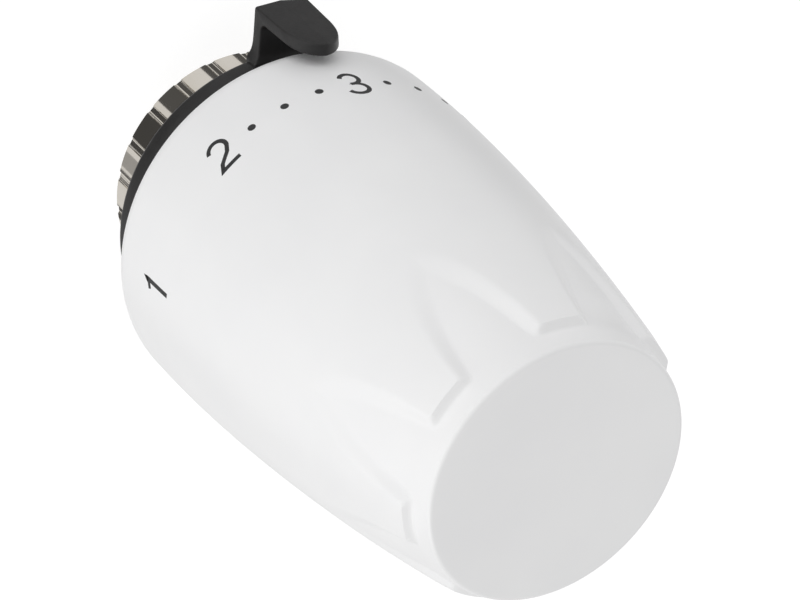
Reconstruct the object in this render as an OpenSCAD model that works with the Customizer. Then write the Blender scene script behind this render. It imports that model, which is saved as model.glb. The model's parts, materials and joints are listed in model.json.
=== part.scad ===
// Thermostatic radiator valve head with a liquid-filled sensor.
// Origin: centre of the union nut's mouth, the side that screws onto the valve.
// +Z runs along the head's axis from the valve to the front face; +X points at the setting pointer.
// Lengths are in millimetres, angles in degrees. One module draws one physical piece.

/* [Handgrip] */

// Largest radius of the handgrip
belly_r = 25; // [20:0.1:30]
// Height of the front face above the nut's mouth
head_height = 80.4; // [60:0.1:100]
// Height of the handgrip's rear edge
grip_rear_z = 14.4; // [12.5:0.1:16]
// Radius of the rounded corner at the rear edge
rear_corner_r = 3.6; // [1:0.1:6]
// Height at which the handgrip begins to taper
belly_z = 21.6; // [18:0.1:30]
// How fast the handgrip tapers towards the face
taper_rate = 0.0058; // [0.004:0.0001:0.01]
// How strongly the taper gathers towards the face
taper_power = 1.735; // [1:0.005:2.5]
// Wall thickness of the handgrip
grip_wall = 2.2; // [1.5:0.1:4]
// Number of thumb recesses round the handgrip
recess_count = 7; // [5:1:10]
// Depth of a thumb recess at its open end
recess_depth = 1.1; // [0.4:0.1:1.2]
// Length of a thumb recess
recess_length = 18.8; // [10:0.1:30]
// Angle a thumb recess spans at its open end
recess_span = 34; // [20:1:45]
// Shape of a recess's tip: 1 is an ellipse, more is a pointed arch
recess_point = 1.15; // [1:0.05:2]
// Width of the plain collar between the recesses and the face
collar_width = 3.4; // [1:0.1:8]
// Radius of the rounded rim of the face
face_rim_r = 0.6; // [0.3:0.1:3]
// Number of ribs that hold the drive sleeve inside the handgrip
inner_rib_count = 8; // [4:1:12]

/* [Index ring] */

// Outer radius of the index ring
ring_r = 21.4; // [19:0.1:24]
// Height of the index ring's rear face
ring_rear_z = 9; // [6:0.1:14]
// Outer radius of the ring's visible rim
ring_rim_r = 21.65; // [19:0.05:24]
// Radius of the rim's rounded rear edge
ring_rim_round = 1.1; // [0.3:0.1:2]
// Height of the pointer hood's tip
pointer_tip_z = 21.6; // [16:0.1:30]
// Half width of the pointer
pointer_half_width = 3.7; // [2:0.05:6]
// Distance from the axis to the pointer's outer edges
pointer_edge_x = 28.5; // [26:0.1:32]
// Rise of the pointer's centre crease above its edges
pointer_crease = 0.4; // [0:0.1:1]
// Thickness of the pointer's hood and riser
pointer_thickness = 1.7; // [1:0.1:3]

/* [Union nut] */

// Outer radius of the union nut
nut_r = 17.5; // [16:0.1:20]
// Height of the union nut
nut_height = 12.2; // [10:0.1:16]
// Minor radius of the M30 x 1.5 thread
thread_minor_r = 14.188; // [14:0.001:15]
// Length of the thread
thread_length = 8.2; // [6:0.1:10]
// Number of grooves round the union nut
nut_groove_count = 22; // [12:1:36]
// Width of a groove in the union nut
nut_groove_width = 1.3; // [0.5:0.1:3]
// Depth of a groove in the union nut
nut_groove_depth = 0.3; // [0.2:0.1:1.2]

/* [Mechanism] */

// Outer radius of the fixed guide tube
guide_tube_r = 17; // [15:0.05:18]
// Inner radius of the fixed guide tube
guide_tube_bore_r = 15.2; // [13:0.05:16]
// Radial running clearance of turning and sliding fits
running_clearance = 0.07; // [0.01:0.01:0.1]
// Number of guide lugs on the sensor carrier
lug_count = 4; // [3:1:6]
// Turn of the handgrip from one end stop to the other
turn_range = 270; // [180:1:300]
// Turn from the drawn setting up to the fully open stop
turn_to_open = 92; // [0:1:150]
// Outer radius of the liquid-filled sensor capsule
capsule_r = 13; // [10:0.1:13.1]
// Number of folds in the bellows
bellows_folds = 7; // [4:1:10]
// Number of turns of the overrun spring
spring_turns = 6; // [4:1:10]

/* [Hidden] */

$fn = 96;
slack = 0.05;
through = 60;
profile_steps = 24;

step_z = head_height - collar_width;
recess_apex_z = step_z - recess_length;
face_inner_z = head_height - grip_wall;
ring_clearance = 0.35;
skirt_bore_r = ring_r + ring_clearance;
skirt_top_z = 18.5;

sleeve_r = 18.6;
sleeve_bore_r = guide_tube_r + running_clearance;
sleeve_bottom_z = 15.12;
sleeve_top_z = 52;

disc_bottom_z = 12.4;
disc_top_z = 14.8;
disc_r = 20.2;
foot_r = 12;
foot_bore_r = 8;
foot_bottom_z = 8.6;
hub_r = 9.8;
hub_top_z = 32;
guide_tube_top_z = 56;
slot_bottom_z = 30;
slot_width = 6.2;

snap_groove_r = 11.2;
snap_bottom_z = 9.1;
snap_top_z = 10;
nut_collar_z = 10.1;
nut_relief_r = 15;
nut_mouth_chamfer = 0.2;

bush_bottom_z = 22.8;
cup_r = 6.5;
cup_bottom_z = 20;
cup_top_z = 38;
cup_bore_r = 5.2;
cup_floor = 2;
seat_washer_z = 34;
seat_washer_top_z = 35.4;
rod_r = 2.5;
rod_nose_r = 2.1;

carrier_r = guide_tube_bore_r - running_clearance;
carrier_bore_r = capsule_r + slack;
carrier_bottom_z = 34;
carrier_floor_z = 41.5;
capsule_bottom_z = 43.9;
carrier_top_z = 66;
capsule_shoulder_z = 64;
capsule_top_z = 73.6;
capsule_wall = 0.6;
plate_thickness = 2;
plate_bore_r = 5.7;
bellows_bottom_z = capsule_bottom_z + plate_thickness;
bellows_top_z = 62.3;
bellows_cap = 0.4;
rod_top_z = bellows_top_z - bellows_cap - slack;

stop_post_span = 60;
stop_tab_span = 29;
stop_r = 19.7;
stop_inner_r = 19.05;
stop_height = 3;
// The tab meets the post's edge when the handgrip has turned to its fully open stop.
stop_tab_angle = 150;
stop_post_angle = stop_tab_angle + turn_to_open + (360 - turn_range) / 2;

// Radius of the handgrip's long taper at height z.
function taper_r(z) = belly_r - taper_rate * pow(max(z - belly_z, 0), taper_power);

// Depth of a thumb recess at height z: nothing at its tip, full near its open end.
function recess_at(z) = recess_depth * min(1, max(0, (z - recess_apex_z) / (0.45 * recess_length)));

function collar_r(z) = taper_r(z) - recess_depth;

// Straight tube between two heights.
module tube(inner_r, outer_r, bottom_z, top_z) {
    translate([0, 0, bottom_z])
        difference() {
            cylinder(r = outer_r, h = top_z - bottom_z);
            translate([0, 0, -1])
                cylinder(r = inner_r, h = top_z - bottom_z + 2);
        }
}

// Tube with a gap cut through one side, as a spring ring has.
module split_ring(inner_r, outer_r, bottom_z, top_z, gap) {
    difference() {
        tube(inner_r, outer_r, bottom_z, top_z);
        translate([-outer_r - 1, -gap / 2, bottom_z - 1])
            cube([outer_r + 1, gap, top_z - bottom_z + 2]);
    }
}

// Part of a tube that spans an angle about a middle direction.
module arc_wall(inner_r, outer_r, bottom_z, top_z, middle, span) {
    rotate([0, 0, middle - span / 2])
        translate([0, 0, bottom_z])
            rotate_extrude(angle = span)
                translate([inner_r, 0])
                    square([outer_r - inner_r, top_z - bottom_z]);
}

module handgrip_outside() {
    rear = [for (a = [0 : 10 : 90])
        [belly_r - rear_corner_r * (1 - sin(a)), grip_rear_z + rear_corner_r * (1 - cos(a))]];
    taper = [for (i = [0 : profile_steps])
        let (z = belly_z + (step_z - belly_z) * i / profile_steps) [taper_r(z), z]];
    rim_z = head_height - face_rim_r;
    rim_r = collar_r(rim_z);
    rim = [for (a = [0 : 15 : 90]) [rim_r - face_rim_r * (1 - cos(a)), rim_z + face_rim_r * sin(a)]];
    rotate_extrude()
        polygon(concat([[0, grip_rear_z]], rear, taper, [[collar_r(step_z), step_z]], rim, [[0, head_height]]));
}

module handgrip_hollow() {
    wall = [for (i = [0 : 12])
        let (z = skirt_top_z + (face_inner_z - skirt_top_z) * i / 12) [taper_r(z) - grip_wall, z]];
    rotate_extrude()
        polygon(concat([[0, grip_rear_z - 1], [skirt_bore_r, grip_rear_z - 1], [skirt_bore_r, skirt_top_z]],
            wall, [[0, face_inner_z]]));
}

// Arch-shaped outline of one thumb recess: width across, height along the axis.
module recess_outline() {
    half = taper_r(step_z) * sin(recess_span / 2);
    arch = [for (i = [0 : 9])
        let (t = 10 * i) [half * pow(sin(t), recess_point), recess_length * (1 - cos(t))]];
    left = [for (i = [9 : -1 : 1]) [-arch[i][0], arch[i][1]]];
    polygon(concat(arch, [[half, recess_length + 0.01], [-half, recess_length + 0.01]], left));
}

module recess_skin() {
    floor_line = [for (i = [0 : 12])
        let (z = recess_apex_z + recess_length * i / 12) [taper_r(z) - recess_at(z), z]];
    rotate_extrude()
        polygon(concat(floor_line, [[belly_r + 1, step_z + 0.01], [belly_r + 1, recess_apex_z]]));
}

module recess_cut() {
    intersection() {
        recess_skin();
        for (i = [0 : recess_count - 1])
            rotate([0, 0, (i + 0.5) * 360 / recess_count])
                translate([10, 0, recess_apex_z])
                    rotate([90, 0, 90])
                        linear_extrude(height = 20)
                            recess_outline();
    }
}

// Ribs that stand in from the handgrip's wall and hold the drive sleeve.
module inner_ribs() {
    difference() {
        for (i = [0 : inner_rib_count - 1])
            rotate([0, 0, i * 360 / inner_rib_count])
                translate([sleeve_r - 1, -0.8, skirt_top_z + 1])
                    cube([10, 1.6, 30]);
        cylinder(r = sleeve_r, h = head_height);
    }
}

module handgrip_shell() {
    color("white")
        difference() {
            handgrip_outside();
            difference() {
                handgrip_hollow();
                inner_ribs();
            }
            recess_cut();
        }
}

module drive_sleeve() {
    color("lightgray") {
        tube(sleeve_bore_r, sleeve_r, sleeve_bottom_z, sleeve_top_z);
        arc_wall(sleeve_r - 0.5, stop_r, sleeve_bottom_z, sleeve_bottom_z + stop_height,
            stop_tab_angle, stop_tab_span);
    }
}

// Plan of the pointer's hood: straight sides and a rounded tip, height along the axis.
module pointer_plan() {
    length = pointer_tip_z - ring_rear_z;
    straight = 0.5 * length;
    right = [for (a = [0 : 10 : 90])
        [pointer_half_width * cos(a), straight + (length - straight) * sin(a)]];
    left = [for (a = [80 : -10 : 0])
        [-pointer_half_width * cos(a), straight + (length - straight) * sin(a)]];
    polygon(concat([[-pointer_half_width, 0], [pointer_half_width, 0]], right, left));
}

// Cross-section of the pointer's hood: flat underside and a low ridge on top.
module pointer_section() {
    under = pointer_edge_x - pointer_thickness;
    polygon([[under, -pointer_half_width], [pointer_edge_x, -pointer_half_width],
        [pointer_edge_x + pointer_crease, 0], [pointer_edge_x, pointer_half_width], [under, pointer_half_width]]);
}

module pointer_hood() {
    intersection() {
        translate([20, 0, ring_rear_z])
            rotate([90, 0, 90])
                linear_extrude(height = 12)
                    pointer_plan();
        translate([0, 0, ring_rear_z])
            linear_extrude(height = pointer_tip_z - ring_rear_z)
                pointer_section();
    }
}

module pointer_riser() {
    reach = pointer_edge_x - 0.2;
    difference() {
        translate([0, -pointer_half_width, ring_rear_z])
            cube([reach, 2 * pointer_half_width, 2.2]);
        translate([0, 0, ring_rear_z - 1])
            cylinder(r = ring_r - 0.3, h = 5);
    }
}

// Outline of the ring's visible rim, from its rounded rear edge to the step under the handgrip's skirt.
function ring_rim() = concat(
    [for (a = [0 : 15 : 90])
        [ring_rim_r - ring_rim_round * (1 - sin(a)), ring_rear_z + ring_rim_round * (1 - cos(a))]],
    [[ring_rim_r, grip_rear_z - 0.3], [ring_r, grip_rear_z - 0.3]]);

module index_ring() {
    color("dimgray") {
        difference() {
            rotate_extrude()
                polygon(concat([[18.2, ring_rear_z]], ring_rim(), [[ring_r, 17], [20.7, 17], [20.7, 15.4],
                    [20, 15.4], [20, disc_top_z], [disc_r, disc_top_z], [disc_r, disc_bottom_z],
                    [18.2, disc_bottom_z]]));
            clip_holes();
        }
        pointer_riser();
        pointer_hood();
    }
}

// Places its children where the two limit clips are parked.
module at_clips() {
    for (a = [168, 192])
        rotate([0, 0, a])
            translate([19.2, 0, 0])
                children();
}

// Blind holes that run from the index ring's rear face into the base housing.
module clip_holes() {
    at_clips()
        translate([0, 0, ring_rear_z - 1])
            cylinder(r = 0.95, h = 5.2, $fn = 48);
}

module limit_clips() {
    color("firebrick")
        at_clips()
            translate([0, 0, ring_rear_z + 0.2])
                cylinder(r = 0.9, h = 3.8, $fn = 48);
}

module carrier_slots() {
    for (i = [0 : lug_count - 1])
        rotate([0, 0, 45 + i * 360 / lug_count])
            translate([guide_tube_bore_r - 2, -slot_width / 2, slot_bottom_z])
                cube([6, slot_width, through]);
}

module base_housing() {
    color("gray") {
        difference() {
            union() {
                cylinder_between(foot_r, foot_bottom_z, disc_bottom_z + 1);
                cylinder_between(disc_r, disc_bottom_z, disc_top_z);
                cylinder_between(hub_r, disc_bottom_z, hub_top_z);
                tube(guide_tube_bore_r, guide_tube_r, disc_bottom_z, guide_tube_top_z);
            }
            cylinder_between(foot_bore_r, 0, hub_top_z + 1);
            cylinder_between(8.6, 0, 9.7);
            cylinder_between(8.3, bush_bottom_z, hub_top_z + 1);
            tube(snap_groove_r, foot_r + 1, snap_bottom_z, snap_top_z);
            tube(17.4, 18.5, disc_top_z - 0.7, disc_top_z + 1);
            tube(16.2, guide_tube_r + 1, sleeve_top_z + slack, sleeve_top_z + 1.25);
            carrier_slots();
            clip_holes();
        }
        arc_wall(stop_inner_r, stop_r, disc_top_z - 0.2, disc_top_z + stop_height,
            stop_post_angle, stop_post_span);
    }
}

module cylinder_between(r, bottom_z, top_z) {
    translate([0, 0, bottom_z])
        cylinder(r = r, h = top_z - bottom_z);
}

module sleeve_retaining_ring() {
    color("silver")
        split_ring(16.2, 18.4, sleeve_top_z + slack, sleeve_top_z + 1.25, 3);
}

module friction_ring() {
    color("black")
        translate([0, 0, disc_top_z - 0.2])
            rotate_extrude()
                translate([17.95, 0])
                    circle(r = 0.5, $fn = 32);
}

module guide_bush() {
    color("goldenrod")
        tube(cup_r + running_clearance, 8.3, bush_bottom_z, hub_top_z);
}

module seat_ring() {
    color("gold")
        tube(7.4, 8.6, foot_bottom_z - 0.2, 9.7);
}

module nut_snap_ring() {
    color("silver")
        split_ring(snap_groove_r, 13.6, snap_bottom_z, snap_top_z, 4);
}

module union_nut() {
    color("silver")
        difference() {
            rotate_extrude()
                polygon([[thread_minor_r, 0], [nut_r - nut_mouth_chamfer, 0], [nut_r, nut_mouth_chamfer],
                    [nut_r, nut_height - 0.6], [nut_r - 0.6, nut_height],
                    [foot_r + running_clearance, nut_height], [foot_r + running_clearance, nut_collar_z],
                    [nut_relief_r, nut_collar_z], [nut_relief_r, thread_length],
                    [thread_minor_r, thread_length]]);
            for (i = [0 : nut_groove_count - 1])
                rotate([0, 0, i * 360 / nut_groove_count])
                    translate([nut_r - nut_groove_depth, -nut_groove_width / 2, -1])
                        cube([3, nut_groove_width, nut_height + 2]);
        }
}

module carrier_lugs() {
    for (i = [0 : lug_count - 1])
        rotate([0, 0, 45 + i * 360 / lug_count])
            intersection() {
                tube(carrier_bore_r + 0.5, guide_tube_r - 0.1, 36, 44);
                translate([0, -slot_width / 2 + 0.2, 30])
                    cube([20, slot_width - 0.4, 20]);
            }
}

module sensor_carrier() {
    color("whitesmoke") {
        difference() {
            tube(carrier_bore_r, carrier_r, carrier_bottom_z, carrier_top_z);
            tube(1, 14, capsule_shoulder_z + slack, capsule_shoulder_z + 1.2);
        }
        tube(7.3, carrier_bore_r + 0.5, carrier_floor_z, capsule_bottom_z);
        carrier_lugs();
    }
}

module sensor_capsule() {
    color("lightsteelblue")
        rotate_extrude()
            polygon([[capsule_r, capsule_bottom_z], [capsule_r, capsule_shoulder_z], [12, capsule_shoulder_z + 1],
                [12, capsule_top_z - 1.5], [10.5, capsule_top_z], [1, capsule_top_z], [1, capsule_top_z - capsule_wall],
                [10.2, capsule_top_z - capsule_wall], [12 - capsule_wall, capsule_top_z - 1.8],
                [12 - capsule_wall, capsule_shoulder_z + 0.8], [capsule_r - capsule_wall, capsule_shoulder_z - 0.2],
                [capsule_r - capsule_wall, capsule_bottom_z]]);
}

module capsule_base_plate() {
    color("burlywood")
        tube(plate_bore_r, capsule_r - capsule_wall, capsule_bottom_z, bellows_bottom_z);
}

// Outline of the bellows' wall: one fold after another up to the closed top.
module bellows() {
    cap_z = bellows_top_z - bellows_cap;
    pitch = (cap_z - bellows_bottom_z) / bellows_folds;
    wall = 0.2;
    inner = [for (i = [0 : bellows_folds - 1]) each [[5.7, bellows_bottom_z + i * pitch],
        [8.4, bellows_bottom_z + (i + 0.35) * pitch], [8.4, bellows_bottom_z + (i + 0.65) * pitch]]];
    last = len(inner) - 1;
    outer = [for (i = [last : -1 : 0]) [inner[i][0] + wall, inner[i][1]]];
    color("peru") {
        rotate_extrude()
            polygon(concat(inner, [[5.7, cap_z], [5.9, cap_z]], outer));
        cylinder_between(6, cap_z, bellows_top_z);
    }
}

module filling_tube() {
    color("peru") {
        cylinder_between(1, capsule_top_z - 1.5, 75.4);
        cylinder_between(1.6, capsule_top_z, capsule_top_z + 0.6);
    }
}

module sensor_retaining_ring() {
    color("silver")
        split_ring(12.3, 14, capsule_shoulder_z + slack, capsule_shoulder_z + 1.2, 4);
}

module thrust_rod() {
    color("silver") {
        cylinder_between(rod_nose_r, 25.6, seat_washer_top_z);
        cylinder_between(rod_r, seat_washer_top_z, rod_top_z - 1);
        cylinder_between(rod_r - 0.5, rod_top_z - 1.5, rod_top_z);
    }
}

module spring_seat_washer() {
    color("gold")
        tube(rod_nose_r, 4.9, seat_washer_z, seat_washer_top_z);
}

// Coil of tilted half turns; a ball joins each half turn to the next.
module overrun_spring() {
    wire_r = 0.55;
    coil_r = 3.9;
    ball_r = wire_r + 0.03;
    half_turns = 2 * spring_turns;
    bottom = cup_bottom_z + cup_floor + ball_r;
    rise = (seat_washer_z - ball_r - bottom) / half_turns;
    tilt = asin(rise / (2 * coil_r));
    color("slategray") {
        for (i = [0 : half_turns - 1])
            translate([0, 0, bottom + (i + 0.5) * rise])
                rotate([0, 0, 180 * i])
                    rotate([0, tilt, 0])
                        rotate([0, 0, 0.6])
                            rotate_extrude(angle = 178.8)
                                translate([coil_r, 0])
                                    circle(r = wire_r, $fn = 24);
        for (i = [0 : half_turns])
            rotate([0, 0, 180 * i])
                translate([coil_r, 0, bottom + i * rise])
                    sphere(r = ball_r, $fn = 24);
    }
}

module thrust_cup() {
    color("ivory")
        difference() {
            cylinder_between(cup_r, cup_bottom_z, cup_top_z);
            cylinder_between(cup_bore_r, cup_bottom_z + cup_floor, cup_top_z + 1);
            tube(1, 5.7, seat_washer_top_z + slack, seat_washer_top_z + 0.85);
        }
}

module cup_retaining_ring() {
    color("silver")
        split_ring(3, 5.7, seat_washer_top_z + slack, seat_washer_top_z + 0.85, 2);
}

handgrip_shell();
drive_sleeve();
index_ring();
base_housing();
sleeve_retaining_ring();
friction_ring();
limit_clips();
guide_bush();
seat_ring();
nut_snap_ring();
union_nut();
sensor_carrier();
sensor_capsule();
capsule_base_plate();
bellows();
filling_tube();
sensor_retaining_ring();
thrust_rod();
spring_seat_washer();
overrun_spring();
thrust_cup();
cup_retaining_ring();
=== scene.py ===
"""Looks of a thermostatic radiator valve head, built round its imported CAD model.

The head stands upright on its union nut: +Z runs to the front face and +X points at the setting pointer.
Shapes are worked out in millimetres and turned into metres when a mesh is made.
"""

import json
import math

import bpy
from mathutils import Matrix, Vector


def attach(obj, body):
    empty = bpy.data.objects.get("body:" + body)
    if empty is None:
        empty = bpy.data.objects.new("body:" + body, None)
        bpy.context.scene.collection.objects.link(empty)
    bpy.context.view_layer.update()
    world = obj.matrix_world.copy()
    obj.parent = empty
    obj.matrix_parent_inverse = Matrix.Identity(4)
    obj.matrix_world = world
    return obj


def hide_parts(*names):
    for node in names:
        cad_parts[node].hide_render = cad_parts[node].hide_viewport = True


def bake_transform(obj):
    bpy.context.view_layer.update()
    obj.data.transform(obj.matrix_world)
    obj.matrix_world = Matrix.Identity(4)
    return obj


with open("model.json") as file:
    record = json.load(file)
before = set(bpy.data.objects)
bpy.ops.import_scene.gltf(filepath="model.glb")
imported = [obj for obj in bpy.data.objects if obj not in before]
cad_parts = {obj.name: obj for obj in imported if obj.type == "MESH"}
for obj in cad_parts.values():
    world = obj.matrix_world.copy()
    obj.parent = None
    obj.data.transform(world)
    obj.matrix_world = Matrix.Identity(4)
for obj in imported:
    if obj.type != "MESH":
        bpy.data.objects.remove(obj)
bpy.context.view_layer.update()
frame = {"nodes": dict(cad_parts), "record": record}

MM = 0.001
TURN = 2 * math.pi

# Handgrip, as in the CAD
BELLY_R = 25.0
GRIP_REAR_Z = 14.4
REAR_CORNER_R = 3.6
BELLY_Z = 21.6
TAPER_RATE = 0.0058
TAPER_POWER = 1.735
FACE_Z = 80.4
STEP_Z = 77.0
RIM_R = 0.6
WALL = 2.2
SKIRT_BORE_R = 21.75
SKIRT_TOP_Z = 18.5

# Thumb recesses
RECESSES = 7
RECESS_DEPTH = 1.3
COLLAR_DEPTH = 1.05
LAND_DROP = 0.1
RECESS_LENGTH = 18.8
RECESS_HALF_ANGLE = math.radians(17.4)
RECESS_CROWN = 0.4
WALL_AT_TIP = 3.6
WALL_AT_STEP = 1.15
STEP_WALL = 0.55
EDGE_BLEND = 0.7
POINTS_PER_RECESS = 60

# Index ring and pointer
RING_R = 21.4
RING_RIM_R = 21.65
RING_ROUND = 1.1
RING_REAR_Z = 9.0
POINTER_HALF = 3.74
POINTER_X = 28.45
POINTER_STRAIGHT_Z = 15.4
POINTER_TIP_Z = 21.5
POINTER_CREASE = 0.4
POINTER_NARROWING = 0.029
POINTER_DROOP = 0.035

# Union nut
NUT_R = 17.5
NUT_TOP_Z = 12.2
THREAD_MINOR_R = 14.188
THREAD_MAJOR_R = 15.0
THREAD_PITCH = 1.5
THREAD_LENGTH = 8.2
GROOVES = 22
GROOVE_WIDTH = 1.3
GROOVE_DEPTH = 0.3
GROOVE_SQUARENESS = 8
MOUTH_CHAMFER = 0.2

# Overrun spring and bellows
SPRING_R = 3.9
SPRING_WIRE_R = 0.48
SPRING_BOTTOM_Z = 22.02
SPRING_TOP_Z = 34.0
SPRING_TURNS = 4.5
BELLOWS_BOTTOM_Z = 45.9
BELLOWS_TOP_Z = 62.3
BELLOWS_MIDDLE_R = 7.15
BELLOWS_DEPTH = 1.3
BELLOWS_FOLDS = 7

# Printed scale: four kelvins to a number
SCALE_Z = 26.75
DIGIT_HEIGHT = 5.3
STROKE = 0.6
NUMBER_PITCH = math.radians(45)
SCALE_AT_REST = math.radians(-2.35)
DOT_R = 0.54

# Light: how bright the room is in its middle and to the camera's left and right, and its dark screens,
# each from one compass angle to another at a brightness
ROOM_MIDDLE = 0.6
ROOM_LEFT = 1.35
ROOM_RIGHT = 0.98
LEFT_AIM = (0.42, 0.88, -0.42)
RIGHT_AIM = (-0.2, -0.95, -0.3)
FLOOR_GLOW = 0.83
KEY_PLACE = (-0.44, 0.36, 0.28)
KEY_TARGET = (0, 0, 0.045)
KEY_SIZE = (0.22, 0.22)
KEY_POWER = 0.6
SCREEN_GAP = 0.8
DARK_SCREENS = [
    (-98, -62, 0.1), (-50, -36, 0.1), (-18, -4, 0.1), (17, 45, 0.1),
    (53, 91, 0.07), (98, 112, 0.4), (114, 122, 0.15), (150, 165, 0.1),
]


def clamp(value, low=0.0, high=1.0):
    return max(low, min(high, value))


def smooth(value):
    t = clamp(value)
    return t * t * (3 - 2 * t)


def smooth_min(a, b, width):
    mix = clamp(0.5 + 0.5 * (b - a) / width)
    return b + (a - b) * mix - width * mix * (1 - mix)


def steps(first, last, count):
    return [first + (last - first) * i / count for i in range(count + 1)]


def make_piece(name, verts, faces, body, material, sharp_angle=35):
    """A smooth-shaded mesh that rides on a CAD body, if one is named; verts are in millimetres."""
    mesh = bpy.data.meshes.new(name)
    mesh.from_pydata([Vector(v) * MM for v in verts], [], faces)
    mesh.validate()
    mesh.shade_smooth()
    mesh.set_sharp_from_angle(angle=math.radians(sharp_angle))
    mesh.materials.append(material)
    piece = bpy.data.objects.new(name, mesh)
    bpy.context.scene.collection.objects.link(piece)
    if body:
        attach(piece, body)
    return piece


def loft(loops, close=False):
    """Vertices and quads that join loops of equal length; close joins the last loop to the first."""
    size = len(loops[0])
    verts = [point for loop in loops for point in loop]
    faces = []
    for row in range(len(loops) if close else len(loops) - 1):
        a = row * size
        b = (row + 1) % len(loops) * size
        for i in range(size):
            j = (i + 1) % size
            faces.append((a + i, a + j, b + j, b + i))
    return verts, faces


def cap(verts, faces, start, size, centre, flip=False):
    """Closes a loop of the mesh with triangles that meet at a centre point."""
    verts.append(centre)
    middle = len(verts) - 1
    for i in range(size):
        a, b = start + i, start + (i + 1) % size
        faces.append((b, a, middle) if flip else (a, b, middle))


def turned(radius, z, angles):
    """One loop round the axis; radius may be a number or a function of the angle."""
    pick = radius if callable(radius) else lambda angle: radius
    return [(pick(a) * math.cos(a), pick(a) * math.sin(a), z) for a in angles]


# ---------------------------------------------------------------- materials


class Paint:
    """A principled material with short helpers for the procedural detail."""

    def __init__(self, name, colour, roughness, metallic=0.0, coat=0.0):
        self.material = bpy.data.materials.new(name)
        self.material.use_nodes = True
        tree = self.material.node_tree
        self.nodes, self.links = tree.nodes, tree.links
        self.shader = self.nodes["Principled BSDF"]
        self.shader.inputs["Base Color"].default_value = (*colour, 1)
        self.shader.inputs["Roughness"].default_value = roughness
        self.shader.inputs["Metallic"].default_value = metallic
        self.shader.inputs["Coat Weight"].default_value = coat
        self.place = self.nodes.new("ShaderNodeTexCoord").outputs["Object"]

    def noise(self, scale, detail=3.0, stretch=(1, 1, 1)):
        mapping = self.nodes.new("ShaderNodeMapping")
        mapping.inputs["Scale"].default_value = stretch
        texture = self.nodes.new("ShaderNodeTexNoise")
        texture.inputs["Scale"].default_value = scale
        texture.inputs["Detail"].default_value = detail
        self.links.new(self.place, mapping.inputs["Vector"])
        self.links.new(mapping.outputs["Vector"], texture.inputs["Vector"])
        return texture.outputs["Fac"]

    def vary_roughness(self, low, high, scale, stretch=(1, 1, 1)):
        spread = self.nodes.new("ShaderNodeMapRange")
        spread.inputs["To Min"].default_value = low
        spread.inputs["To Max"].default_value = high
        self.links.new(self.noise(scale, stretch=stretch), spread.inputs["Value"])
        self.links.new(spread.outputs["Result"], self.shader.inputs["Roughness"])

    def vary_colour(self, first, second, scale, stretch=(1, 1, 1)):
        ramp = self.nodes.new("ShaderNodeValToRGB")
        ramp.color_ramp.elements[0].position = 0.35
        ramp.color_ramp.elements[0].color = (*first, 1)
        ramp.color_ramp.elements[1].position = 0.65
        ramp.color_ramp.elements[1].color = (*second, 1)
        self.links.new(self.noise(scale, stretch=stretch), ramp.inputs["Fac"])
        self.links.new(ramp.outputs["Color"], self.shader.inputs["Base Color"])

    def grain(self, scale, strength, distance, stretch=(1, 1, 1)):
        bump = self.nodes.new("ShaderNodeBump")
        bump.inputs["Strength"].default_value = strength
        bump.inputs["Distance"].default_value = distance * MM
        self.links.new(self.noise(scale, 2.0, stretch), bump.inputs["Height"])
        self.links.new(bump.outputs["Normal"], self.shader.inputs["Normal"])


def white_plastic():
    paint = Paint("white_plastic", (0.86, 0.86, 0.865), 0.38)
    paint.vary_colour((0.85, 0.85, 0.855), (0.87, 0.87, 0.872), 60)
    paint.vary_roughness(0.34, 0.42, 220)
    paint.grain(2600, 0.25, 0.01)
    return paint.material


def dark_plastic():
    paint = Paint("dark_plastic", (0.016, 0.0152, 0.0155), 0.42)
    paint.vary_colour((0.014, 0.0135, 0.0138), (0.019, 0.018, 0.018), 300)
    paint.vary_roughness(0.36, 0.5, 900)
    paint.grain(3600, 0.6, 0.03)
    paint.shader.inputs["Specular IOR Level"].default_value = 0.35
    return paint.material


def natural_plastic():
    paint = Paint("natural_plastic", (0.74, 0.72, 0.66), 0.5)
    paint.vary_colour((0.72, 0.70, 0.64), (0.76, 0.74, 0.69), 180)
    paint.grain(2200, 0.3, 0.02)
    return paint.material


def red_plastic():
    paint = Paint("red_plastic", (0.5, 0.03, 0.02), 0.42)
    paint.vary_roughness(0.36, 0.5, 900)
    paint.grain(3000, 0.3, 0.01)
    return paint.material


def nickel():
    paint = Paint("nickel_plate", (0.72, 0.68, 0.61), 0.05, metallic=1.0)
    paint.vary_colour((0.70, 0.655, 0.585), (0.74, 0.70, 0.64), 260, (1, 1, 0.2))
    paint.vary_roughness(0.035, 0.075, 700, (1, 1, 0.12))
    paint.grain(1400, 0.12, 0.004, (1, 1, 0.1))
    return paint.material


def spring_steel():
    paint = Paint("spring_steel", (0.45, 0.45, 0.47), 0.28, metallic=1.0)
    paint.vary_roughness(0.2, 0.38, 800)
    paint.grain(2500, 0.3, 0.01)
    return paint.material


def ground_steel():
    paint = Paint("steel", (0.58, 0.58, 0.59), 0.2, metallic=1.0)
    paint.vary_roughness(0.14, 0.3, 1200, (1, 1, 6))
    paint.grain(1500, 0.2, 0.01, (0.1, 0.1, 6))
    return paint.material


def brass():
    paint = Paint("brass", (0.72, 0.53, 0.24), 0.22, metallic=1.0)
    paint.vary_colour((0.66, 0.47, 0.20), (0.76, 0.57, 0.27), 240)
    paint.vary_roughness(0.16, 0.32, 900)
    return paint.material


def bronze():
    paint = Paint("bellows_bronze", (0.62, 0.36, 0.2), 0.25, metallic=1.0)
    paint.vary_colour((0.55, 0.30, 0.16), (0.68, 0.41, 0.24), 300)
    paint.vary_roughness(0.18, 0.34, 700)
    return paint.material


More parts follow.
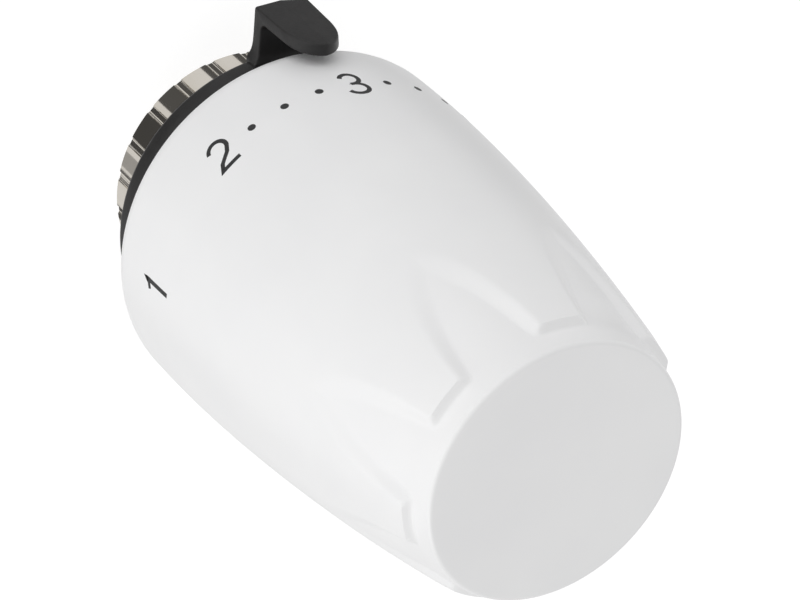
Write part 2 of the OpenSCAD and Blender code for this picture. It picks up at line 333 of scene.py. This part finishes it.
def capsule_metal():
    paint = Paint("capsule_metal", (0.66, 0.66, 0.68), 0.3, metallic=1.0)
    paint.vary_roughness(0.22, 0.38, 500, (1, 1, 0.2))
    paint.grain(900, 0.2, 0.02, (1, 1, 0.1))
    return paint.material


def seal_rubber():
    paint = Paint("seal_rubber", (0.02, 0.02, 0.02), 0.6)
    paint.vary_roughness(0.5, 0.7, 700)
    paint.grain(2000, 0.4, 0.02)
    return paint.material


def scale_ink():
    paint = Paint("scale_ink", (0.02, 0.02, 0.021), 0.5)
    paint.vary_colour((0.017, 0.017, 0.018), (0.026, 0.026, 0.027), 1500)
    paint.grain(3500, 0.2, 0.01)
    return paint.material


def pale_floor():
    paint = Paint("pale_floor", (0.3, 0.3, 0.3), 0.85)
    paint.vary_colour((0.295, 0.295, 0.295), (0.305, 0.305, 0.305), 6)
    paint.shader.inputs["Emission Color"].default_value = (1, 1, 1, 1)
    paint.shader.inputs["Emission Strength"].default_value = FLOOR_GLOW
    return paint.material


# ---------------------------------------------------------------- handgrip


def land_radius(z):
    """Radius of the handgrip's outer skin, recesses left out."""
    into_corner = GRIP_REAR_Z + REAR_CORNER_R - z
    if into_corner > 0:
        return BELLY_R - REAR_CORNER_R + math.sqrt(max(REAR_CORNER_R ** 2 - into_corner ** 2, 0))
    return BELLY_R - TAPER_RATE * max(z - BELLY_Z, 0) ** TAPER_POWER


def recess_share(z):
    """How far z is along a recess: 0 at its tip and 1 at the step before the collar."""
    return clamp((z - STEP_Z) / RECESS_LENGTH + 1)


def recess_depth(z):
    """Depth below the lands: it grows along a recess and eases into the collar's depth."""
    into_collar = smooth((z - STEP_Z + 4) / 5)
    return (RECESS_DEPTH + (COLLAR_DEPTH - RECESS_DEPTH) * into_collar) * (1 - (1 - recess_share(z)) ** 1.5)


def recess_half_width(z):
    arch = 1 - (1 - recess_share(z)) ** 2
    return RECESS_HALF_ANGLE * land_radius(STEP_Z) * arch ** 0.57


def grip_radius(angle, z):
    """Outer radius of the handgrip with its recesses, lands and collar."""
    land = land_radius(z)
    depth = recess_depth(z)
    if depth <= 0:
        return land
    sector = TURN / RECESSES
    half = recess_half_width(z)
    from_middle = abs((angle % sector) - sector / 2) * land
    slope = (recess_half_width(z + 0.1) - recess_half_width(z - 0.1)) / 0.2
    wall = WALL_AT_STEP + (WALL_AT_TIP - WALL_AT_STEP) * (1 - recess_share(z)) ** 0.8
    to_side = (from_middle - half) / math.hypot(1, slope) / wall
    to_step = (STEP_Z - z) / STEP_WALL
    inside = 1 + smooth_min(to_side, to_step, EDGE_BLEND)
    across = clamp(1 - (from_middle / max(half, 0.1)) ** 2)
    crown = RECESS_CROWN * recess_share(z) * across * smooth((STEP_Z - z) / 6)
    rise = 0.5 * smooth(inside) + 0.5 * clamp(inside)
    drop = LAND_DROP * smooth((z - STEP_Z + 3) / 3) * rise
    return land - depth * (1 - rise) - drop + crown


def build_handgrip(material):
    points = RECESSES * POINTS_PER_RECESS
    angles = [TURN * i / points for i in range(points)]
    rim_z = FACE_Z - RIM_R
    collar_r = grip_radius(0, rim_z)
    loops = []
    for r in (4, 8, 12, 15, 16):
        loops.append(turned(r, FACE_Z, angles))
    for a in steps(0, 90, 9):
        turn = math.radians(a)
        radius = collar_r - RIM_R + RIM_R * math.sin(turn)
        loops.append(turned(radius, rim_z + RIM_R * math.cos(turn), angles))
    for z in steps(rim_z - 0.2, STEP_Z - RECESS_LENGTH - 0.6, 92):
        loops.append(turned(lambda a: grip_radius(a, z), z, angles))
    for z in steps(STEP_Z - RECESS_LENGTH - 2, GRIP_REAR_Z + REAR_CORNER_R, 26):
        loops.append(turned(land_radius(z), z, angles))
    for a in steps(6, 78, 12):
        z = GRIP_REAR_Z + REAR_CORNER_R * (1 - math.sin(math.radians(a)))
        loops.append(turned(land_radius(z), z, angles))
    lip = 0.1
    edge_z = GRIP_REAR_Z + 0.04
    loops.append(turned(SKIRT_BORE_R + lip / 2, edge_z, angles))
    loops.append(turned(SKIRT_BORE_R, edge_z + lip, angles))
    loops.append(turned(SKIRT_BORE_R, SKIRT_TOP_Z, angles))
    for z in steps(SKIRT_TOP_Z, FACE_Z - WALL, 10):
        loops.append(turned(land_radius(z) - WALL, z, angles))
    verts, faces = loft(loops)
    size = len(angles)
    cap(verts, faces, 0, size, (0, 0, FACE_Z), flip=True)
    cap(verts, faces, (len(loops) - 1) * size, size, (0, 0, FACE_Z - WALL))
    piece = make_piece("handgrip_cap", verts, faces, "handgrip", material)
    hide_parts("handgrip_shell")


# ---------------------------------------------------------------- printed scale


def arc(cx, cy, rx, ry, first, last, count=14):
    """Points along an ellipse, angles in degrees."""
    return [(cx + rx * math.cos(math.radians(a)), cy + ry * math.sin(math.radians(a)))
            for a in steps(first, last, count)]


def glyph(mark):
    """Strokes of one mark of the scale, for a height of 1 about the middle."""
    if mark == "0":
        return [arc(0, 0, 0.26, 0.47, 0, 360, 32)]
    if mark == "1":
        return [[(-0.13, 0.29), (0.02, 0.36), (0.08, 0.5), (0.08, -0.5)]]
    if mark == "2":
        foot = [(0.13, -0.06), (-0.16, -0.27), (-0.27, -0.46), (0.28, -0.46)]
        return [arc(0, 0.21, 0.25, 0.26, 165, -20) + foot]
    if mark == "3":
        return [arc(0, 0.235, 0.23, 0.235, 160, -90) + arc(0, -0.235, 0.26, 0.235, 90, -165)[1:],
                [(-0.08, 0.0), (0.0, 0.0)]]
    if mark == "4":
        return [[(0.12, -0.5), (0.12, 0.47), (-0.28, -0.2), (0.3, -0.2)]]
    if mark == "5":
        return [[(0.24, 0.46), (-0.17, 0.46), (-0.24, -0.01)] + arc(0, -0.16, 0.26, 0.31, 140, -155)]
    return [line for turn in range(6) for line in frost_arm(math.radians(60 * turn))]


def frost_arm(turn):
    """One arm of the frost mark: a line with a small fork near its end."""
    def spin(x, y):
        return (x * math.cos(turn) - y * math.sin(turn), x * math.sin(turn) + y * math.cos(turn))
    fork = [spin(0.42, 0.12), spin(0.28, 0), spin(0.42, -0.12)]
    return [[spin(0, 0), spin(0.46, 0)], fork]


def ribbon(points, width):
    """Left and right edges of a stroke, mitred at its corners."""
    edges = []
    for i, (x, y) in enumerate(points):
        before = Vector(points[max(i - 1, 0)])
        after = Vector(points[min(i + 1, len(points) - 1)])
        here = Vector((x, y))
        into = (here - before).normalized() if i else (after - here).normalized()
        out = (after - here).normalized() if i < len(points) - 1 else into
        side = Vector((-(into + out).y, (into + out).x)).normalized()
        reach = width / 2 / max(0.45, side.dot(Vector((-into.y, into.x))))
        edges.append((here + side * reach, here - side * reach))
    return edges


def divided(points, longest=0.3):
    """The same line with points close enough together to follow the handgrip's curve."""
    line = [points[0]]
    for (ax, ay), (bx, by) in zip(points, points[1:]):
        count = max(1, math.ceil(math.hypot(bx - ax, by - ay) / longest))
        line += [(ax + (bx - ax) * i / count, ay + (by - ay) * i / count) for i in range(1, count + 1)]
    return line


def on_grip(angle, x, y, lift):
    """A point of the scale: x to the right of the mark's middle, y towards the pointer side."""
    z = SCALE_Z - y
    radius = land_radius(z) + lift
    turn = angle - x / radius
    return (radius * math.cos(turn), radius * math.sin(turn), z)


def print_outline(verts, faces, angle, left, right):
    """Adds one inked strip between two rows of points: a top and thin sides down into the plastic."""
    start = len(verts)
    for a, b in zip(left, right):
        verts.extend(on_grip(angle, *a, 0.02) for a in (a, b))
        verts.extend(on_grip(angle, *b, -0.05) for b in (b, a))
    for i in range(len(left) - 1):
        a, b = start + 4 * i, start + 4 * (i + 1)
        for k in range(4):
            m = (k + 1) % 4
            faces.append((a + k, a + m, b + m, b + k))
    faces.append((start + 3, start + 2, start + 1, start))
    last = start + 4 * (len(left) - 1)
    faces.append((last, last + 1, last + 2, last + 3))


def print_dot(verts, faces, angle, radius):
    rows = steps(-90, 90, 12)
    left = [(-radius * math.cos(math.radians(a)) - 0.01, radius * math.sin(math.radians(a))) for a in rows]
    right = [(-x, y) for x, y in left]
    print_outline(verts, faces, angle, left, right)


def build_scale(material):
    verts, faces = [], []
    places = {"5": -2, "4": -1, "3": 0, "2": 1, "1": 2, "frost": 3.5, "0": 4}
    for mark, place in places.items():
        angle = SCALE_AT_REST + place * NUMBER_PITCH
        size = DIGIT_HEIGHT * (0.8 if mark == "frost" else 1)
        width = STROKE * (0.8 if mark == "frost" else 1)
        for stroke in glyph(mark):
            edges = ribbon(divided([(x * size, y * size) for x, y in stroke]), width)
            print_outline(verts, faces, angle, [a for a, b in edges], [b for a, b in edges])
    for number in (0, 1):
        for kelvin in (1, 2, 3):
            angle = SCALE_AT_REST + (number - kelvin / 4) * NUMBER_PITCH
            print_dot(verts, faces, angle, DOT_R)
    make_piece("scale_print", verts, faces, "handgrip", material)


# ---------------------------------------------------------------- index ring and pointer


def build_index_ring(material):
    angles = [TURN * i / 256 for i in range(256)]
    step_z = GRIP_REAR_Z - 0.3
    outline = [(18.2, RING_REAR_Z + 0.2), (18.4, RING_REAR_Z)]
    outline += [(RING_RIM_R - RING_ROUND * (1 - math.sin(a)), RING_REAR_Z + RING_ROUND * (1 - math.cos(a)))
                for a in steps(0, math.pi / 2, 8)]
    outline += [(RING_RIM_R, step_z - 0.15), (RING_RIM_R - 0.1, step_z), (RING_R, step_z), (RING_R, 16.8)]
    outline += [(RING_R - 0.2, 17), (20.9, 17), (20.7, 16.8), (20.7, 15.4), (20, 15.4), (20, 14.85)]
    outline += [(20.25, 14.8), (20.25, 12.3), (18.2, 12.3)]
    loops = [turned(r, z, angles) for r, z in outline]
    verts, faces = loft(loops, close=True)
    ring = make_piece("index_ring_band", verts, faces, "head_base", material)
    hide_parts("index_ring")


def pointer_spine():
    """Stations along the pointer's bent profile, root to tip: outer (x, z), inner (x, z), half width."""
    thick = 1.65
    corner = 0.3
    root_x = 20.9
    inner_x = 25.6
    root_z = RING_REAR_Z + 1.9
    stations = []
    for t in steps(0, 1, 20):
        flare = math.exp(-max(t * (inner_x - root_x) - 0.6, 0) / 0.45)
        outer = (root_x + t * (POINTER_X - corner - root_x), RING_REAR_Z + 0.02)
        inner = (root_x + t * (inner_x - root_x), root_z + 0.6 * flare)
        stations.append((outer, inner, POINTER_HALF + 0.8 * flare))
    fillet = POINTER_X - thick - inner_x
    for t in steps(0.1, 1, 9):
        turn = t * math.pi / 2
        outer = (POINTER_X - corner + corner * math.sin(turn), RING_REAR_Z + corner - corner * math.cos(turn))
        inner = (inner_x + fillet * math.sin(turn), root_z + fillet * (1 - math.cos(turn)))
        stations.append((outer, inner, POINTER_HALF))
    bend_z = stations[-1][0][1]
    inner_z = stations[-1][1][1]
    for t in steps(0.04, 1, 30):
        ease = math.sin(t * math.pi / 2)
        z = bend_z + (POINTER_TIP_Z - bend_z) * ease
        droop = POINTER_DROOP * (z - bend_z)
        outer = (POINTER_X - droop, z)
        inner = (POINTER_X - thick - 0.9 * droop, inner_z + (POINTER_TIP_Z - 0.15 - inner_z) * ease)
        share = clamp((z - POINTER_STRAIGHT_Z) / (POINTER_TIP_Z - POINTER_STRAIGHT_Z))
        width = POINTER_HALF - POINTER_NARROWING * (z - bend_z)
        stations.append((outer, inner, max(0.1, width * math.sqrt(max(0, 1 - share ** 2.15)))))
    return stations


def pointer_section(width, depth, crease):
    """Outline across the pointer as (y, depth) points: creased top, rounded edges and flat underside."""
    edge = min(0.28, width * 0.45, depth * 0.3)
    top = width - edge
    line = [(y * top, -crease * (1 - abs(y))) for y in (-1, -0.5, -0.015, 0.015, 0.5, 1)]
    side = [(top + edge * math.sin(a), edge - edge * math.cos(a)) for a in steps(0.4, math.pi / 2, 3)]
    side += [(top + edge * math.cos(a), depth - edge + edge * math.sin(a)) for a in steps(0, 1.3, 3)]
    under = [(y * top, depth) for y in (0.9, 0.3, -0.3, -0.9)]
    return line + side + under + [(-y, d) for y, d in reversed(side)]


def build_pointer(material):
    loops = []
    for i, (outer, inner, width) in enumerate(pointer_spine()):
        outer, inner = Vector(outer), Vector(inner)
        depth = (inner - outer).length
        across = (inner - outer) / depth
        crease = POINTER_CREASE * smooth((i - 22) / 7) * min(1, width / POINTER_HALF)
        loops.append([(outer.x + across.x * d, y, outer.y + across.y * d)
                      for y, d in pointer_section(width, depth, crease)])
    verts, faces = loft(loops)
    size = len(loops[0])
    last = (len(loops) - 1) * size
    faces.append(tuple(range(size)))
    faces.append(tuple(last + i for i in reversed(range(size))))
    make_piece("setting_pointer", verts, faces, "head_base", material, 50)


# ---------------------------------------------------------------- union nut


def nut_angles():
    """Angles round the nut that put points on both edges of every groove."""
    half = GROOVE_WIDTH / 2 / NUT_R
    pitch = TURN / GROOVES
    inside = [half * share for share in (-1, -0.93, -0.84, -0.7, -0.5, -0.2, 0.2, 0.5, 0.7, 0.84, 0.93, 1)]
    rib = steps(half * 1.1, pitch - half * 1.1, 8)
    return [k * pitch + a for k in range(GROOVES) for a in inside + rib]


def nut_outside(angle, radius):
    """Radius of the grooved outside, never larger than the given radius."""
    pitch = TURN / GROOVES
    from_groove = abs((angle + pitch / 2) % pitch - pitch / 2) * NUT_R
    cut = clamp(1 - (from_groove / (GROOVE_WIDTH / 2)) ** GROOVE_SQUARENESS)
    return min(radius, NUT_R - GROOVE_DEPTH * cut)


def thread_radius(angle, z):
    """Radius of the M30 x 1.5 inside thread: a helix of V-shaped grooves with flat crests."""
    phase = (z / THREAD_PITCH - angle / TURN) % 1
    groove = clamp(1.5 - 4 * abs(phase - 0.5) * 0.9 - 0.3, 0, 1)
    fade = clamp(z / 0.8) * clamp((THREAD_LENGTH - z) / 0.5)
    return THREAD_MINOR_R + (THREAD_MAJOR_R - THREAD_MINOR_R) * groove * fade


def build_union_nut(material):
    angles = nut_angles()
    top_chamfer = 0.6
    shoulder_z = NUT_TOP_Z - top_chamfer
    rings = [(NUT_R - MOUTH_CHAMFER, 0), (NUT_R, MOUTH_CHAMFER), (NUT_R, MOUTH_CHAMFER + 0.1),
             (NUT_R, shoulder_z - 0.1), (NUT_R, shoulder_z), (NUT_R - top_chamfer, NUT_TOP_Z)]
    loops = [turned(lambda a, r=r: nut_outside(a, r), z, angles) for r, z in rings]
    collar_r = 12.07
    pocket_r = 15.0
    pocket_z = 10.1
    loops += [turned(collar_r + 0.15, NUT_TOP_Z, angles), turned(collar_r, NUT_TOP_Z - 0.15, angles)]
    loops += [turned(collar_r, pocket_z, angles), turned(pocket_r, pocket_z, angles)]
    loops.append(turned(pocket_r, THREAD_LENGTH, angles))
    for z in steps(THREAD_LENGTH, 0.0, 54):
        loops.append(turned(lambda a, z=z: thread_radius(a, z), z, angles))
    loops.append(turned(THREAD_MINOR_R + 0.35, 0, angles))
    verts, faces = loft(loops, close=True)
    piece = make_piece("union_nut_grooved", verts, faces, "coupling_nut", material, 28)
    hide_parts("union_nut")


# ---------------------------------------------------------------- spring and bellows


def spring_height(turn):
    """Height of the wire's middle after so many turns: the first and the last turn lie closed."""
    closed = 2.04 * SPRING_WIRE_R
    rise = SPRING_TOP_Z - SPRING_BOTTOM_Z - 2 * SPRING_WIRE_R - 2 * closed
    ends = clamp(turn) + clamp(turn - 1 - SPRING_TURNS)
    return SPRING_BOTTOM_Z + SPRING_WIRE_R + closed * ends + rise * clamp((turn - 1) / SPRING_TURNS)


def build_spring(material):
    loops = []
    for turn in steps(0, SPRING_TURNS + 2, 208):
        angle = turn * TURN
        z = spring_height(turn)
        ring = [(SPRING_R + SPRING_WIRE_R * math.cos(a), z + SPRING_WIRE_R * math.sin(a))
                for a in steps(0, TURN, 12)[:-1]]
        loops.append([(r * math.cos(angle), r * math.sin(angle), height) for r, height in ring])
    verts, faces = loft(loops)
    size = len(loops[0])
    last = len(verts) - size
    faces.append(tuple(reversed(range(size))))
    faces.append(tuple(last + i for i in range(size)))
    piece = make_piece("overrun_coil", verts, faces, None, material)
    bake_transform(piece)
    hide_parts("overrun_spring")


def build_bellows(material):
    angles = [TURN * i / 96 for i in range(96)]
    cap_z = BELLOWS_TOP_Z - 0.4
    pitch = (cap_z - BELLOWS_BOTTOM_Z) / BELLOWS_FOLDS
    wall = [(BELLOWS_MIDDLE_R - BELLOWS_DEPTH * math.cos(TURN * fold), cap_z - pitch * fold)
            for fold in steps(0, BELLOWS_FOLDS, 12 * BELLOWS_FOLDS)]
    outline = [(5.8, BELLOWS_TOP_Z), (6, BELLOWS_TOP_Z - 0.1)]
    outline += [(r + 0.1, z) for r, z in wall]
    outline += [(r - 0.1, z) for r, z in reversed(wall)]
    loops = [turned(r, z, angles) for r, z in outline]
    verts, faces = loft(loops)
    size = len(angles)
    cap(verts, faces, 0, size, (0, 0, BELLOWS_TOP_Z), flip=True)
    cap(verts, faces, (len(loops) - 1) * size, size, (0, 0, cap_z))
    piece = make_piece("bellows_folds", verts, faces, None, material)
    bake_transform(piece)
    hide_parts("bellows")


# ---------------------------------------------------------------- scene


def paint_cad_nodes(materials):
    """Gives every CAD node the procedural material of its slot."""
    for entry in frame["record"]["subparts"]:
        node = frame["nodes"][entry["node"]]
        node.data.materials.clear()
        node.data.materials.append(materials[entry["material_slot"]])


def build_floor(material):
    half = 3.0
    mesh = bpy.data.meshes.new("floor")
    corners = [(-half, -half, 0), (half, -half, 0), (half, half, 0), (-half, half, 0)]
    mesh.from_pydata(corners, [], [(0, 1, 2, 3)])
    mesh.materials.append(material)
    floor = bpy.data.objects.new("floor", mesh)
    bpy.context.scene.collection.objects.link(floor)
    floor.visible_glossy = False
    floor.visible_diffuse = False


def add_camera():
    """The photograph's viewpoint: above the face, with the axis running down to the right."""
    data = bpy.data.cameras.new("camera")
    data.lens = 135
    data.sensor_width = 36
    data.clip_start = 0.01
    camera = bpy.data.objects.new("camera", data)
    place = Vector((0.18395, 0.17446, 0.31269))
    target = Vector((0.00159, -0.00164, 0.04107))
    roll = math.radians(132.8)
    aim = (target - place).to_track_quat("-Z", "Y").to_matrix().to_4x4()
    camera.matrix_world = Matrix.Translation(place) @ aim @ Matrix.Rotation(roll, 4, "Z")
    bpy.context.scene.collection.objects.link(camera)
    bpy.context.scene.camera = camera


def add_softbox(name, place, target, size, power):
    data = bpy.data.lights.new(name, "AREA")
    data.shape = "RECTANGLE"
    data.size, data.size_y = size
    data.energy = power
    light = bpy.data.objects.new(name, data)
    light.location = place
    light.rotation_mode = "QUATERNION"
    light.rotation_quaternion = (Vector(target) - Vector(place)).to_track_quat("-Z", "Y")
    bpy.context.scene.collection.objects.link(light)


def mix_by(tree, low, high, factor):
    """Blends two numbers or sockets; the factor runs from 0 for the first to 1 for the second."""
    mix = tree.nodes.new("ShaderNodeMix")
    for socket, value in ((mix.inputs["A"], low), (mix.inputs["B"], high), (mix.inputs["Factor"], factor)):
        if isinstance(value, bpy.types.NodeSocket):
            tree.links.new(value, socket)
        else:
            socket.default_value = value
    return mix.outputs["Result"]


def spread(tree, source, low, high, first, last):
    """Maps low..high of a socket onto first..last and holds it there outside."""
    node = tree.nodes.new("ShaderNodeMapRange")
    node.inputs["From Min"].default_value = low
    node.inputs["From Max"].default_value = high
    node.inputs["To Min"].default_value = first
    node.inputs["To Max"].default_value = last
    tree.links.new(source, node.inputs["Value"])
    return node.outputs["Result"]


def facing(tree, direction, aim):
    """How far a direction points towards an aim: 1 straight at it and 0 square to it."""
    node = tree.nodes.new("ShaderNodeVectorMath")
    node.operation = "DOT_PRODUCT"
    node.inputs[1].default_value = Vector(aim).normalized()
    tree.links.new(direction, node.inputs[0])
    return node.outputs["Value"]


def dark_screens(tree, parts):
    """Brightness round the compass: even, with dark screens at the angles of DARK_SCREENS."""
    angle = tree.nodes.new("ShaderNodeMath")
    angle.operation = "ARCTAN2"
    tree.links.new(parts.outputs["Y"], angle.inputs[0])
    tree.links.new(parts.outputs["X"], angle.inputs[1])
    node = tree.nodes.new("ShaderNodeValToRGB")
    ramp = node.color_ramp
    ramp.interpolation = "CONSTANT"
    for stop in ramp.elements:
        stop.color = (SCREEN_GAP, SCREEN_GAP, SCREEN_GAP, 1)
    for first, last, level in DARK_SCREENS:
        for degrees, value in ((first, level), (last, SCREEN_GAP)):
            stop = ramp.elements.new((degrees + 180) / 360)
            stop.color = (value, value, value, 1)
    tree.links.new(spread(tree, angle.outputs["Value"], -math.pi, math.pi, 0, 1), node.inputs["Fac"])
    return node.outputs["Color"]


def light_scene():
    """A white room, brighter to its sides, with dark screens below for the metal to mirror."""
    world = bpy.data.worlds.new("studio")
    world.use_nodes = True
    tree = world.node_tree
    parts = tree.nodes.new("ShaderNodeSeparateXYZ")
    direction = tree.nodes.new("ShaderNodeTexCoord").outputs["Generated"]
    tree.links.new(direction, parts.inputs["Vector"])
    walls = tree.nodes.new("ShaderNodeMath")
    walls.operation = "MAXIMUM"
    left = facing(tree, direction, LEFT_AIM)
    right = facing(tree, direction, RIGHT_AIM)
    tree.links.new(spread(tree, left, 0.0, 0.8, ROOM_MIDDLE, ROOM_LEFT), walls.inputs[0])
    tree.links.new(spread(tree, right, 0.0, 0.8, ROOM_MIDDLE, ROOM_RIGHT), walls.inputs[1])
    below = spread(tree, parts.outputs["Z"], -0.6, -0.5, 0, 1)
    room = mix_by(tree, dark_screens(tree, parts), walls.outputs["Value"], below)
    tree.nodes["Background"].inputs["Color"].default_value = (1, 1, 1, 1)
    tree.links.new(room, tree.nodes["Background"].inputs["Strength"])
    bpy.context.scene.world = world
    add_softbox("key", KEY_PLACE, KEY_TARGET, KEY_SIZE, KEY_POWER)


materials = {
    "white_plastic": white_plastic(),
    "dark_plastic": dark_plastic(),
    "natural_plastic": natural_plastic(),
    "red_plastic": red_plastic(),
    "nickel_plate": nickel(),
    "spring_steel": spring_steel(),
    "steel": ground_steel(),
    "brass": brass(),
    "bellows_bronze": bronze(),
    "capsule_metal": capsule_metal(),
    "seal_rubber": seal_rubber(),
}
paint_cad_nodes(materials)
build_handgrip(materials["white_plastic"])
build_scale(scale_ink())
build_index_ring(materials["dark_plastic"])
build_pointer(materials["dark_plastic"])
build_union_nut(materials["nickel_plate"])
build_spring(materials["spring_steel"])
build_bellows(materials["bellows_bronze"])
build_floor(pale_floor())
add_camera()
light_scene()
bpy.context.scene.view_settings.view_transform = "Standard"
